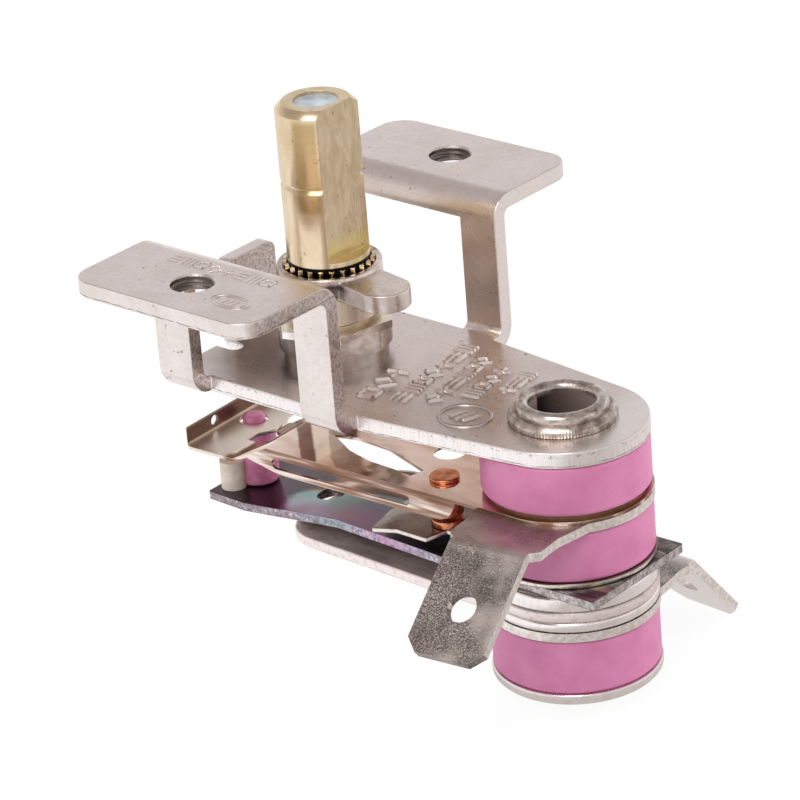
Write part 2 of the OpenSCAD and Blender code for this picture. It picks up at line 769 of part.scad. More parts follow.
// Cement that holds the bead on the bimetal's tip
module bead_cement() {
    dab_d = 1.9;
    dab_h = 2.2;
    color("linen") turned(blade_turn) difference() {
        translate([bead_x - 0.9, -1.9, bead_seat]) cylinder(h = dab_h, d = dab_d);
        translate([bead_x, 0, bead_seat - cut]) cylinder(h = dab_h + 2 * cut, d = bead_d);
    }
}

module clamp_washer_upper() {
    color("lightgray") at_rivet(0) ring(layer_d, layer_bore, z_support, clamp_upper_t);
}

module support_strip() {
    w = support_w / 2;
    corner_r = 3;
    free_x = rivet_x - support_len;
    color("gray") bent_strip(support_path, support_t) difference() {
        union() {
            root_disc();
            translate([free_x, -w]) square([support_len - 3, 2 * w]);
        }
        mirror_copy([0, 1]) mirror([1, 0]) translate([-free_x - corner_r, w - corner_r]) corner_cutter(corner_r);
        layer_hole();
    }
}

module clamp_washer_lower() {
    color("lightgray") at_rivet(0) ring(layer_d, layer_bore, z_rear, clamp_lower_t);
}

// Terminal centred on the origin that leaves along -X, with a sloping blade beyond a round bend
module terminal(z, out, slope) {
    strip = tab_strip_w / 2;
    blade = tab_blade_w / 2;
    corner = 0.5;
    steps = 6;
    bend_start = out - terminal_bend_r * tan(slope / 2);
    mean_r = terminal_bend_r - terminal_t / 2;
    bend = [for (i = [0 : steps]) let (a = slope * i / steps)
        [-bend_start - mean_r * sin(a), z - terminal_bend_r + mean_r * cos(a)]];
    end = [-out - terminal_len * cos(slope), z - terminal_len * sin(slope)]
        + terminal_t / 2 * [sin(slope), -cos(slope)];
    ring(layer_d, layer_bore, z - terminal_t, terminal_t);
    difference() {
        bent_strip(concat([[0, z - terminal_t / 2]], bend, [end]), terminal_t)
            polygon(both_sides([[-out - terminal_len, blade], [-bend_start, blade], [-bend_start, strip - corner],
                [-bend_start + corner, strip], [-7.2, strip], [-5.2, strip + 0.5], [-4, layer_r - 1.7]]));
        translate([-out, 0, z]) rotate([0, -slope, 0]) translate([0, 0, -terminal_t - cut])
            linear_extrude(terminal_t + 2 * cut) terminal_cuts();
    }
}

// Hole and corner chamfers of a terminal's blade
module terminal_cuts() {
    w = tab_blade_w / 2;
    c = terminal_chamfer;
    translate([terminal_hole_in - terminal_len, 0]) circle(d = terminal_hole_d, $fn = 48);
    mirror_copy([0, 1]) polygon([[-terminal_len - cut, w - c - cut], [-terminal_len + c + cut, w + cut],
        [-terminal_len - cut, w + cut]]);
}

module front_terminal() {
    color("silver") translate([rivet_x, 0, 0]) rotate(90 + front_turn) terminal(z_front, front_out, front_slope);
}

module rear_terminal() {
    color("silver") translate([rivet_x, 0, 0]) rotate(rear_turn - 90) terminal(z_rear, rear_out, rear_slope);
}

module bottom_washer() {
    bevel = 0.3;
    color("silver") at_rivet(z_end) difference() {
        rotate_extrude()
            polygon([[0, 0], [layer_r - bevel, 0], [layer_r, bevel], [layer_r, bottom_t], [0, bottom_t]]);
        translate([0, 0, -cut]) cylinder(h = bottom_t + 2 * cut, d = tube_bore);
    }
}

mounting_bracket();
bushing();
spindle();
stop_collar();
calibration_screw();
socket_seal();
push_pin();
hollow_rivet();
rivet_washer();
insulating_sleeve();
ring_upper();
ring_middle();
ring_lower();
mica_disc();
contact_blade();
moving_contact();
front_terminal();
fixed_arm();
fixed_contact();
bimetal();
bead();
bead_cement();
clamp_washer_upper();
support_strip();
clamp_washer_lower();
rear_terminal();
bottom_washer();
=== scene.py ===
"""Looks of the oven thermostat: materials, small details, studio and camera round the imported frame."""

import math

import bmesh
import bpy
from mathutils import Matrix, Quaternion, Vector


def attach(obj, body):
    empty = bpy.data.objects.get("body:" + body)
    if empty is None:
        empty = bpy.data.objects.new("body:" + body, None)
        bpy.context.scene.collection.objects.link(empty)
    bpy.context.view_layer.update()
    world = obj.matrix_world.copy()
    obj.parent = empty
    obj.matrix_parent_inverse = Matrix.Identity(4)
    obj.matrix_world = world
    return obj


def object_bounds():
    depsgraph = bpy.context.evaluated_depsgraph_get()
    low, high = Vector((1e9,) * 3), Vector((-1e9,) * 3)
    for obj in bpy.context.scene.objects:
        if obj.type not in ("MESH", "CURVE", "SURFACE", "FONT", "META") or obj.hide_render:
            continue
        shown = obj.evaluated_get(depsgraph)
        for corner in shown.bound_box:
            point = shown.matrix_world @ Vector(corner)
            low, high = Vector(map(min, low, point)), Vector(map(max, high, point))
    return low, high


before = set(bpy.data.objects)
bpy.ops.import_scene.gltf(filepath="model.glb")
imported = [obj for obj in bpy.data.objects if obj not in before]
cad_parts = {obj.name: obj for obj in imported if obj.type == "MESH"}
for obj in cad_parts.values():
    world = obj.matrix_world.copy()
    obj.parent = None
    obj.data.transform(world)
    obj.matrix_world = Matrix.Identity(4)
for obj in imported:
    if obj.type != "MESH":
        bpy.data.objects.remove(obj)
cad_lo, cad_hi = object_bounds()

MM = 0.001
STACK = "frame_and_stack"

# Places on the CAD part that the looks and the small details follow, in millimetres
EAR_TOP = 0.0
PLATE_TOP = -10.65
EAR_HOLE_Y = 14.0
EAR_HOLE_R = 1.6
RIVET_X = 21.0
RIVET_BORE_R = 2.3

# Camera at the photograph's place: distance and focal length were solved from the part's own sizes
CAM_AT = Vector((190.93, -202.64, 112.62)) * MM
CAM_AZIMUTH = 42.416
CAM_ELEVATION = 24.614
CAM_ROLL = -4.6
SENSOR_MM = 36.0
LENS_MM = 188.18
CLIP_NEAR, CLIP_FAR = 0.01, 10.0


def make_camera():
    data = bpy.data.cameras.new("camera")
    data.sensor_width = SENSOR_MM
    data.lens = LENS_MM
    data.clip_start = CLIP_NEAR
    data.clip_end = CLIP_FAR
    cam = bpy.data.objects.new("camera", data)
    a, e = math.radians(CAM_AZIMUTH), math.radians(CAM_ELEVATION)
    back = Vector((math.sin(a) * math.cos(e), -math.cos(a) * math.cos(e), math.sin(e)))
    cam.location = CAM_AT
    cam.rotation_mode = "QUATERNION"
    roll = Quaternion((0, 0, 1), math.radians(CAM_ROLL))
    cam.rotation_quaternion = (-back).to_track_quat("-Z", "Y") @ roll
    bpy.context.scene.collection.objects.link(cam)
    bpy.context.scene.camera = cam


make_camera()
bpy.context.scene.view_settings.view_transform = "Standard"


# Node helpers


def srgb(r, g, b):
    """A colour written as 0 to 255 display values, as Blender's linear colour."""
    out = []
    for c in (r, g, b):
        c /= 255
        out.append(c / 12.92 if c <= 0.04045 else ((c + 0.055) / 1.055) ** 2.4)
    return (*out, 1.0)


def dimmed(tone, share):
    return (*(c * share for c in tone[:3]), 1.0)


class Tree:
    """A shader's node tree, with short ways to make, set and link its nodes."""

    def __init__(self, node_tree):
        self.nt = node_tree

    def put(self, socket, value):
        """Links a socket to another one, or sets its value."""
        if isinstance(value, bpy.types.NodeSocket):
            self.nt.links.new(value, socket)
        else:
            socket.default_value = value

    def node(self, kind, inputs=None, **props):
        n = self.nt.nodes.new("ShaderNode" + kind)
        for key, value in props.items():
            setattr(n, key, value)
        for key, value in (inputs or {}).items():
            self.put(n.inputs[key], value)
        return n

    def maths(self, op, a, b=0.0):
        return self.node("Math", {0: a, 1: b}, operation=op).outputs[0]

    def ramp(self, fac, stops):
        """A colour ramp. Each stop is a position, and a linear colour or a grey level."""
        n = self.node("ValToRGB", {"Fac": fac})
        items = n.color_ramp.elements
        while len(items) < len(stops):
            items.new(0.5)
        for item, (at, value) in zip(items, stops):
            item.position = at
            item.color = (*value[:3], 1.0) if isinstance(value, tuple) else (value, value, value, 1.0)
        return n.outputs["Color"]

    def split(self, vector, name):
        """One coordinate of a vector."""
        return self.node("SeparateXYZ", {"Vector": vector}).outputs[name]

    def straight(self):
        """1 for rays that reach the camera straight or through something clear."""
        path = self.node("LightPath").outputs
        return self.maths("MAXIMUM", path["Is Camera Ray"], path["Is Transmission Ray"])

    def shader(self, kind, colour, strength=None):
        n = self.node(kind, {"Color": colour})
        if strength is not None:
            n.inputs["Strength"].default_value = strength
        return n.outputs[0]

    def mix_shaders(self, fac, a, b):
        return self.node("MixShader", {0: fac, 1: a, 2: b}).outputs[0]


class Mat(Tree):
    """A procedural material: one Principled shader and the nodes that feed it."""

    def __init__(self, name, colour, metallic=0.0, roughness=0.5):
        self.m = bpy.data.materials.new(name)
        self.m.use_nodes = True
        super().__init__(self.m.node_tree)
        self.bsdf = self.nt.nodes["Principled BSDF"]
        self.coord = self.node("TexCoord").outputs["Object"]
        self.normal = None
        self.feed("Base Color", colour)
        self.feed("Metallic", metallic)
        self.feed("Roughness", roughness)

    def feed(self, name, value):
        self.put(self.bsdf.inputs[name], value)

    def mapped(self, scale, turn=(0, 0, 0)):
        """Object coordinates in millimetres, scaled per axis."""
        n = self.node("Mapping", {"Vector": self.coord})
        n.inputs["Scale"].default_value = [s / MM for s in scale]
        n.inputs["Rotation"].default_value = [math.radians(t) for t in turn]
        return n.outputs["Vector"]

    def axis(self, name):
        """One object coordinate, in millimetres."""
        return self.split(self.mapped((1, 1, 1)), name)

    def radius(self, x, y):
        """Distance from a vertical axis, in millimetres."""
        off = self.node("VectorMath", {0: self.mapped((1, 1, 0)), 1: (x, y, 0)}, operation="SUBTRACT")
        return self.node("VectorMath", {0: off.outputs[0]}, operation="LENGTH").outputs["Value"]

    def angle(self, x, y):
        """Angle round a vertical axis in degrees, from -180 to 180."""
        off_y = self.maths("SUBTRACT", self.axis("Y"), y)
        off_x = self.maths("SUBTRACT", self.axis("X"), x)
        return self.times(self.maths("ARCTAN2", off_y, off_x), 180 / math.pi)

    def facing(self, x, y, z, low=0.85, high=0.95):
        """1 where the true surface normal looks along a direction in the part's frame."""
        normal = self.node("NewGeometry").outputs["True Normal"]
        dot = self.node("VectorMath", {0: normal, 1: (x, y, z)}, operation="DOT_PRODUCT")
        return self.ramp(dot.outputs["Value"], [(low, 0.0), (high, 1.0)])

    def upright(self):
        """1 on faces whose normal is level within about 7 degrees."""
        tilt = self.split(self.node("NewGeometry").outputs["True Normal"], "Z")
        return self.maths("LESS_THAN", self.maths("ABSOLUTE", tilt), 0.12)

    def noise(self, scale, detail=3.0, rough=0.55, turn=(0, 0, 0), distort=0.0):
        """Noise with features of about 1/scale millimetres. The scale is one number or one per axis."""
        if not isinstance(scale, tuple):
            scale = (scale, scale, scale)
        n = self.node("TexNoise", {"Vector": self.mapped(scale, turn), "Scale": 1.0, "Detail": detail,
                                   "Roughness": rough, "Distortion": distort})
        return n.outputs["Fac"]

    def patches(self, scale, low, high, most=1.0, least=0.0, **noise):
        """A mask out of noise: least where the noise is under low, and most where it is over high."""
        return self.ramp(self.noise(scale, **noise), [(low, least), (high, most)])

    def drift(self, scale, reach):
        """Noise about zero, to make the rim of a mask uneven."""
        return self.times(self.maths("SUBTRACT", self.noise(scale), 0.5), reach)

    def step(self, value, at, soft):
        """0 below a value and 1 above it, with a soft change."""
        n = self.node("MapRange", {"Value": value, "From Min": at - soft, "From Max": at + soft},
                      interpolation_type="SMOOTHSTEP")
        return n.outputs["Result"]

    def below(self, value, at, soft):
        """1 below a value and 0 above it, with a soft change."""
        return self.inverse(self.step(value, at, soft))

    def band(self, value, low, high, soft):
        """1 between two values and 0 outside them, with soft changes."""
        return self.maths("SUBTRACT", self.step(value, low, soft), self.step(value, high, soft))

    def spot(self, x, y, reach, soft, uneven):
        """1 near a vertical axis and 0 beyond a reach, with an uneven rim."""
        return self.below(self.maths("ADD", self.radius(x, y), uneven), reach, soft)

    def inverse(self, mask):
        return self.maths("SUBTRACT", 1.0, mask)

    def times(self, first, *others):
        for other in others:
            first = self.maths("MULTIPLY", first, other)
        return first

    def over(self, base, colour, *masks):
        """A colour laid over another one where all the masks are 1."""
        return self.node("Mix", {0: self.times(*masks), 6: base, 7: colour}, data_type="RGBA").outputs[2]

    def rough(self, fac, low, high):
        """Roughness from low to high over the middle half of a noise."""
        self.feed("Roughness", self.ramp(fac, [(0.25, low), (0.75, high)]))

    def bump(self, height, depth_mm):
        """Relief on top of the bumps that were added before."""
        n = self.node("Bump", {"Height": height, "Distance": depth_mm * MM})
        if self.normal is not None:
            self.put(n.inputs["Normal"], self.normal)
        self.normal = n.outputs["Normal"]
        self.feed("Normal", self.normal)


# Materials
# Places and levels are in the part's own millimetres, so every mark stays where it is in any view.
# A mask runs from 0 to 1. The last number of a step, below or band is how softly it changes.


def bracket_material():
    """Satin nickel sheet: clouded faces, pits, speckled leg fronts and a burr line along the cut edges, with
    painted shade, light and reflections on the plate, legs and holes.
    """
    m = Mat("bracket_nickel", srgb(236, 225, 221), metallic=1.0)
    x, y, z = m.axis("X"), m.axis("Y"), m.axis("Z")
    base = m.over(srgb(231, 220, 215), srgb(241, 231, 228), m.patches(0.22, 0.35, 0.65, detail=4))
    base = m.over(base, srgb(196, 184, 176), m.patches(3.2, 0.42, 0.62, 0.20, rough=0.7))
    base = m.over(base, srgb(96, 84, 74), m.patches(1.7, 0.70, 0.74, 0.55, detail=2, rough=0.4))

    # Speckled fronts of the legs, darkened as painted shade on these +X faces
    legs = m.times(m.facing(1, 0, 0), m.below(x, 9.0, 1.0))
    base = m.over(base, srgb(140, 126, 116), legs, m.patches(4.5, 0.42, 0.62, 0.75, 0.10, rough=0.7))

    # Sheared edge of the plate, with fine upright lines, lighter as a painted reflection of the bright floor
    lines = m.noise((5, 5, 0.45), rough=0.7)
    shear = m.ramp(lines, [(0.36, srgb(241, 232, 230)), (0.54, srgb(253, 247, 246))])
    sheared = m.times(m.upright(), m.band(z, PLATE_TOP - 1.65, PLATE_TOP - 0.15, 0.05), m.inverse(legs))
    base = m.over(base, shear, sheared, 0.9)

    # Broken burr line low on the edges of the ears and of the plate, and crumbs high on the plate's edge
    height = m.maths("ADD", z, m.drift(0.9, 0.25))
    plate_line = m.band(height, PLATE_TOP - 1.05, PLATE_TOP - 0.99, 0.03)
    burr = m.maths("MAXIMUM", m.band(height, -1.06, -1.00, 0.03), plate_line)
    base = m.over(base, srgb(92, 80, 70), burr, m.upright(), m.patches(1.4, 0.40, 0.55, 0.85, 0.15))
    rim = m.band(z, PLATE_TOP - 0.40, PLATE_TOP - 0.15, 0.04)
    crumbs = m.patches((2.6, 2.6, 5), 0.54, 0.66, 0.55, rough=0.7)
    base = m.over(base, srgb(96, 84, 76), rim, m.upright(), crumbs)

    # Upper face of the plate: painted shade round the bushing, among the signs and faintly over all of it,
    # and a painted highlight at its round end
    top = m.band(z, PLATE_TOP - 0.15, PLATE_TOP + 0.25, 0.05)
    uneven = m.drift(0.3, 4.0)
    base = m.over(base, srgb(104, 90, 80), m.spot(-2.5, -2.5, 5.0, 3.0, uneven), top, 0.78)
    base = m.over(base, srgb(150, 136, 126), m.spot(14.0, -2.5, 4.5, 3.5, uneven), top, 0.30)
    base = m.over(base, srgb(150, 136, 128), top, 0.12)
    base = m.over(base, srgb(254, 249, 246), top, m.step(x, 23.0, 2.0), 0.7)

    # Darker corner of the front ear, painted light on the fronts and painted warm shade on the sides that
    # face -Y of the far legs, and painted shade in the tapped holes
    corner = m.spot(3.0, -8.2, 1.6, 2.0, uneven)
    base = m.over(base, srgb(140, 126, 116), corner, m.step(z, -0.4, 0.2), 0.4)
    far = m.step(y, 4.0, 0.5)
    base = m.over(base, srgb(252, 246, 243), far, m.times(m.facing(1, 0, 0), 0.8))
    base = m.over(base, srgb(198, 180, 166), far, m.times(m.facing(0, -1, 0), 0.6))
    # Painted shade inside the tapped holes, over the threads too
    hole = m.maths("MINIMUM", m.radius(0, -EAR_HOLE_Y), m.radius(0, EAR_HOLE_Y))
    hole_shade = m.times(m.below(hole, EAR_HOLE_R + 0.06, 0.03), m.below(z, -0.12, 0.06))
    base = m.over(base, srgb(92, 80, 72), hole_shade, 0.8)

    m.feed("Base Color", base)
    m.rough(m.noise(1.2), 0.24, 0.36)
    m.bump(m.noise(6, rough=0.7), 0.004)
    m.bump(m.times(lines, sheared), 0.008)
    m.bump(m.noise(0.5, detail=2), 0.02)
    return m.m


def grainy_terminal():
    """Dull tin with a fine sparkling grain, clouded faces and brighter cut edges."""
    m = Mat("terminal_tin", srgb(150, 140, 134), metallic=1.0)
    grain = m.noise(9, rough=0.75)
    tint = m.ramp(grain, [(0.37, srgb(80, 72, 68)), (0.50, srgb(138, 127, 122)), (0.62, srgb(220, 211, 205))])
    tint = m.over(tint, srgb(96, 88, 84), m.patches(0.28, 0.38, 0.62, 0.55))
    tint = m.over(tint, srgb(200, 187, 179), m.step(m.axis("Z"), -16.4, 0.5), 0.5)
    worn = m.patches(0.24, 0.50, 0.66, 0.7, detail=2, turn=(20, 40, 0))
    tint = m.over(tint, srgb(208, 198, 191), worn)
    scratch = m.patches((0.7, 6, 6), 0.69, 0.74, 0.6, turn=(0, 0, 35))
    tint = m.over(tint, srgb(232, 224, 218), scratch)
    tint = m.over(tint, srgb(254, 250, 249), m.step(m.axis("Y"), 8.0, 1.5), 0.92)
    cut = m.ramp(m.noise(3), [(0.4, srgb(226, 217, 210)), (0.6, srgb(250, 244, 240))])
    side = m.upright()
    m.feed("Base Color", m.over(tint, cut, side))
    m.rough(m.noise(2.5), 0.26, 0.44)
    m.bump(m.times(grain, m.inverse(m.times(side, 0.8))), 0.026)
    return m.m


def brass():
    """Turned brass with faint rings, a rubbed flat, a painted shade band down the shaft, and painted shade
    making the knurl under the collar's mouth dark.
    """
    m = Mat("spindle_brass", srgb(236, 216, 184), metallic=1.0)
    z = m.axis("Z")
    patch = m.noise((0.5, 0.5, 0.22), detail=4, distort=0.6)
    clouds = m.ramp(patch, [(0.36, 0.0), (0.62, 1.0)])
    base = m.over(srgb(240, 219, 190), srgb(220, 197, 160), clouds)
    flat = m.facing(1, 0, 0, 0.9, 0.98)
    mottle = m.ramp(m.noise((1.1, 1.1, 0.45), detail=4, rough=0.65, distort=0.6),
                    [(0.35, srgb(200, 180, 146)), (0.65, srgb(226, 208, 178))])
    mottle = m.over(mottle, srgb(226, 206, 142), m.band(z, -2.6, -1.2, 0.8))
    base = m.over(base, mottle, flat)
    # Painted shade: a dark upright band down the shaft
    shaded = m.times(m.band(m.angle(0, 0), -84, -50, 5), m.band(z, 1.4, 8.3, 0.3))
    base = m.over(base, srgb(190, 162, 116), shaded, 0.9)
    base = m.over(base, srgb(120, 96, 56), m.patches(1.6, 0.68, 0.74, 0.5, detail=2))
    base = m.over(base, srgb(232, 216, 200), m.below(z, -5.1, 0.05))
    # Painted shade: the knurl's roots under the collar's mouth made near black
    core = m.maths("LESS_THAN", m.radius(0, 0), 3.1)
    m.feed("Base Color", m.over(base, srgb(22, 20, 18), m.band(z, -5.2, -2.85, 0.06), core))
    m.rough(patch, 0.16, 0.28)
    m.bump(m.noise((0.3, 0.3, 6)), 0.006)
    m.bump(m.times(m.noise((1.4, 1.4, 0.6), detail=4, rough=0.65), flat), 0.03)
    return m.m


def bright_steel(name, tone, rough=(0.14, 0.3), contrast=0.6, scale=0.6, bump=0.006):
    m = Mat(name, tone, metallic=1.0)
    clouds = m.patches(scale, 0.45, 0.72, contrast, detail=4, rough=0.65)
    m.feed("Base Color", m.over(tone, dimmed(tone, 0.45), clouds))
    m.rough(m.noise(2), *rough)
    m.bump(m.noise(3, rough=0.6), bump)
    return m.m


def bushing_material():
    """Turned nickel: tan flats, a clouded barrel with painted dark reflections round it and faint turning
    rings, darker towards the bottom, and pale worn corners.
    """
    m = Mat("bushing_nickel", srgb(232, 220, 210), metallic=1.0)
    tone_and_reflections = m.ramp(m.noise((0.5, 0.5, 0.9), detail=4, rough=0.65),
                   [(0.42, srgb(255, 250, 246)), (0.66, srgb(214, 200, 190))])
    # Painted dark reflections in upright bands round the barrel, and a fainter one at its front
    around = m.angle(0, 0)
    reflection_bands = m.maths("MAXIMUM", m.band(around, 2, 34, 8), m.band(around, -132, -108, 8))
    tone_and_reflections = m.over(tone_and_reflections, srgb(112, 96, 86), reflection_bands, 0.75)
    tone_and_reflections = m.over(tone_and_reflections, srgb(132, 116, 106), m.band(around, -60, -34, 8), 0.2)
    base = m.over(tone_and_reflections, srgb(255, 247, 230), m.facing(0, 0, 1))
    base = m.over(base, srgb(120, 106, 96), m.below(m.axis("Z"), -9.3, 0.7), 0.3)
    m.feed("Base Color", base)
    m.rough(m.noise(1.2), 0.24, 0.38)
    m.bump(m.noise((0.4, 0.4, 5)), 0.01)
    m.bump(m.noise(1.6), 0.02)
    return m.m


def collar_material():
    """Pressed nickel collar: mottled silver wall with a painted dark reflection at its front, painted shade
    and light on its sides, and a brighter clouded lobe.
    """
    m = Mat("collar_nickel", srgb(226, 214, 206), metallic=1.0)
    mottle = m.noise(0.9, detail=4, rough=0.65, distort=0.5)
    base = m.ramp(mottle, [
        (0.36, srgb(242, 232, 224)), (0.50, srgb(206, 190, 178)), (0.64, srgb(150, 134, 124))])
    around = m.angle(0, 0)
    # Painted dark reflection in a blotchy patch at the front of the wall
    patch = m.times(m.band(around, -52, -22, 7), m.band(m.axis("Z"), -4.95, -3.75, 0.2))
    base = m.over(base, srgb(58, 46, 46), patch, m.patches(1.3, 0.36, 0.52, 1.0, 0.6))
    # Painted shade on the left of the wall and painted light on its right
    base = m.over(base, srgb(182, 168, 157), m.below(around, -62, 8), 0.8)
    base = m.over(base, srgb(252, 244, 238), m.band(around, -14, 60, 8), 0.7)
    lobe = m.step(m.radius(0, 0), 4.6, 0.5)
    base = m.over(base, srgb(228, 216, 209), lobe, 0.65)
    m.feed("Base Color", base)
    m.rough(mottle, 0.22, 0.38)
    m.bump(m.times(mottle, m.inverse(m.times(lobe, 0.6))), 0.05)
    m.bump(m.noise(3, rough=0.6), 0.01)
    return m.m


def rivet_material():
    """Rolled bright tube with rubbed streaks round its rim and a bore with painted shade, light on one side
    and near black on the other.
    """
    m = Mat("rivet_steel", srgb(210, 202, 196), metallic=1.0)
    streak = m.noise((0.9, 0.9, 2.4), detail=4, rough=0.65, distort=0.4)
    base = m.ramp(streak, [
        (0.36, srgb(222, 212, 206)), (0.52, srgb(188, 177, 170)), (0.68, srgb(128, 115, 108))])
    bore = m.times(m.below(m.radius(RIVET_X, 0), RIVET_BORE_R + 0.12, 0.06), m.below(m.axis("Z"), -9.7, 0.25))
    # Painted shade round the bore, light on one side and near black on the other
    shade = m.ramp(m.maths("DIVIDE", m.angle(RIVET_X, 0), 180.0),
                   [(0.25, srgb(196, 178, 172)), (0.70, srgb(126, 110, 104)), (0.95, srgb(48, 40, 38))])
    m.feed("Base Color", m.over(base, shade, bore))
    m.feed("Metallic", m.inverse(m.times(bore, 0.55)))
    m.rough(streak, 0.2, 0.34)
    m.bump(m.noise(2), 0.012)
    return m.m


def ribbed_washer():
    """Washer under the rivet's rim, with fine serrations round its wall."""
    rib_count = 110
    m = Mat("washer_ribbed", srgb(206, 195, 186), metallic=1.0)
    base = m.ramp(m.noise(1.1, detail=4, rough=0.65),
                  [(0.38, srgb(222, 212, 204)), (0.62, srgb(150, 136, 126))])
    wall = m.step(m.radius(RIVET_X, 0), 3.9, 0.12)
    ribs = m.maths("SINE", m.times(m.angle(RIVET_X, 0), math.radians(rib_count)))
    # Painted shade: dark stripes between the serrations of the wall
    base = m.over(base, srgb(92, 80, 72), wall, m.ramp(ribs, [(0.2, 0.0), (0.9, 0.35)]))
    m.feed("Base Color", base)
    m.rough(m.noise(2), 0.22, 0.38)
    m.bump(m.times(ribs, wall), 0.02)
    m.bump(m.noise(3, rough=0.6), 0.01)
    return m.m


def steatite():
    """Pressed pink ceramic: slight clouds, small dark specks and a fine skin."""
    m = Mat("ring_steatite", srgb(205, 124, 170), roughness=0.42)
    cloud = m.ramp(m.noise(0.35, detail=4), [(0.3, srgb(190, 110, 153)), (0.7, srgb(206, 128, 169))])
    m.feed("Base Color", m.over(cloud, srgb(140, 72, 112), m.patches(2.6, 0.69, 0.75, 0.35, detail=2)))
    m.rough(m.noise(3), 0.34, 0.5)
    m.bump(m.noise(1.5, detail=4), 0.014)
    return m.m


def tinted_blade():
    """Spring sheet with heat tints, cream to brown, a dark flange and lip, painted reflections in slanting
    bands on the tongue, and painted shade on the faces that look away and down.
    """
    m = Mat("blade_steel", srgb(226, 204, 188), metallic=1.0)
    x, y = m.axis("X"), m.axis("Y")
    base = m.ramp(m.noise((0.14, 0.3, 0.3), distort=0.3),
                  [(0.36, srgb(196, 160, 138)), (0.50, srgb(228, 203, 187)), (0.66, srgb(244, 230, 222))])

    # Tongue: painted reflections in bands at 45 degrees, where X plus Y stays the same: a cream highlight and
    # dark bands
    slant = m.maths("ADD", m.maths("ADD", x, y), m.drift(0.35, 0.5))
    tongue = m.times(m.facing(0, 0, 1, 0.5, 0.7), m.band(x, -4.9, 3.4, 0.2))
    base = m.over(base, srgb(250, 236, 222), m.band(slant, -3.3, -0.3, 0.15), tongue, 0.8)
    bands = m.maths("MAXIMUM", m.band(slant, -4.9, -3.4, 0.15), m.band(slant, -0.1, 1.2, 0.2))
    base = m.over(base, srgb(112, 66, 42), bands, tongue, 0.92)

    # Flanges, pad and lip, then painted shade on the sides that face away and down
    tint = m.ramp(m.noise((0.10, 0.7, 1.3), detail=2, rough=0.5),
                  [(0.40, srgb(98, 60, 42)), (0.50, srgb(150, 110, 88)), (0.60, srgb(246, 232, 224))])
    base = m.over(base, tint, m.upright(), 0.85)
    pad = m.below(x, -5.4, 0.3)
    base = m.over(base, srgb(250, 240, 226), pad, 0.85)
    base = m.over(base, srgb(104, 64, 48), m.below(x, -8.9, 0.12), m.step(m.axis("Z"), -17.38, 0.06), 0.85)
    base = m.over(base, srgb(110, 70, 52), m.facing(0, 1, 0), 0.75)
    base = m.over(base, srgb(120, 78, 58), m.facing(0, 0, -1), 0.6)

    m.feed("Base Color", base)
    m.feed("Roughness", m.ramp(pad, [(0.0, 0.11), (1.0, 0.34)]))
    m.bump(m.noise(0.6, detail=2), 0.012)
    return m.m


def oxide_bimetal():
    """Rolled bimetal with oxide tints: teal and pink middle, speckled edge, dark root, a dark purple tip
    painted as a reflection, brown painted shade under the blade and an underside painted light.
    """
    m = Mat("bimetal_oxide", srgb(150, 170, 166), metallic=1.0)
    x, y = m.axis("X"), m.axis("Y")
    wander = m.maths("SUBTRACT", m.noise((0.16, 0.3, 0.3), distort=0.5), 0.5)
    across = m.maths("ADD", m.maths("DIVIDE", y, 12.4), m.times(wander, 0.45))
    along = m.maths("ADD", x, m.times(wander, 6.0))

    # Upper face: tints across its width, pink near the front edge, painted brown shade and reflection where
    # it lies under the blade, a painted dark reflection on the tip, and the root
    middle = m.ramp(m.maths("ADD", across, 0.5), [
        (0.00, srgb(186, 180, 204)), (0.12, srgb(176, 158, 184)), (0.22, srgb(152, 160, 170)),
        (0.34, srgb(124, 154, 150)), (0.60, srgb(128, 158, 148)), (1.00, srgb(156, 170, 154))])
    pink = m.ramp(m.maths("DIVIDE", along, 20.0), [(0.10, 0.0), (0.22, 0.7), (0.34, 0.7), (0.46, 0.0)])
    top = m.over(middle, srgb(180, 152, 190), pink, m.below(across, -0.12, 0.14))
    # Painted brown shade and reflection of the blade above
    blade_reflection = m.ramp(m.noise((0.22, 1.4, 1.4), detail=2),
                   [(0.34, srgb(104, 68, 50)), (0.52, srgb(160, 114, 86)), (0.68, srgb(226, 202, 184))])
    warm = m.maths("ADD", y, m.maths("SUBTRACT", m.times(wander, 0.5), m.times(x, 0.15)))
    top = m.over(top, blade_reflection, m.band(warm, -1.1, 4.2, 0.2), m.band(along, -7.0, 8.0, 1.0))
    # Painted reflection: the tip dark purple, as the bead's dark reflection
    top = m.over(top, srgb(78, 62, 72), m.below(along, -2.6, 0.6))
    root = m.ramp(m.noise((0.35, 0.8, 0.8), distort=1.0), [
        (0.38, srgb(78, 70, 70)), (0.50, srgb(122, 112, 110)), (0.60, srgb(146, 160, 148)),
        (0.68, srgb(184, 170, 138))])
    top = m.over(top, root, m.step(along, 12.5, 1.0))

    # Cut edge: tints along its length, with dark flecks and bright grains
    edge = m.ramp(m.maths("DIVIDE", m.maths("ADD", along, 10.0), 36.0), [
        (0.00, srgb(160, 148, 152)), (0.22, srgb(176, 160, 170)), (0.36, srgb(170, 192, 200)),
        (0.52, srgb(206, 160, 196)), (0.70, srgb(180, 194, 202)), (0.82, srgb(206, 198, 196))])
    edge = m.over(edge, srgb(112, 92, 98), m.patches(2.4, 0.44, 0.58, 0.6, rough=0.7))
    edge = m.over(edge, srgb(238, 226, 236), m.patches(3.4, 0.60, 0.66, 0.7, detail=2))

    top = m.over(top, edge, m.upright())
    # Painted light: the underside near white, so the strip under it is lit by its reflection
    m.feed("Base Color", m.over(top, srgb(236, 228, 228), m.facing(0, 0, -1)))
    m.feed("Roughness", m.ramp(x, [(0.0, 0.2), (1.0, 0.34)]))
    m.bump(m.noise(1), 0.008)
    return m.m


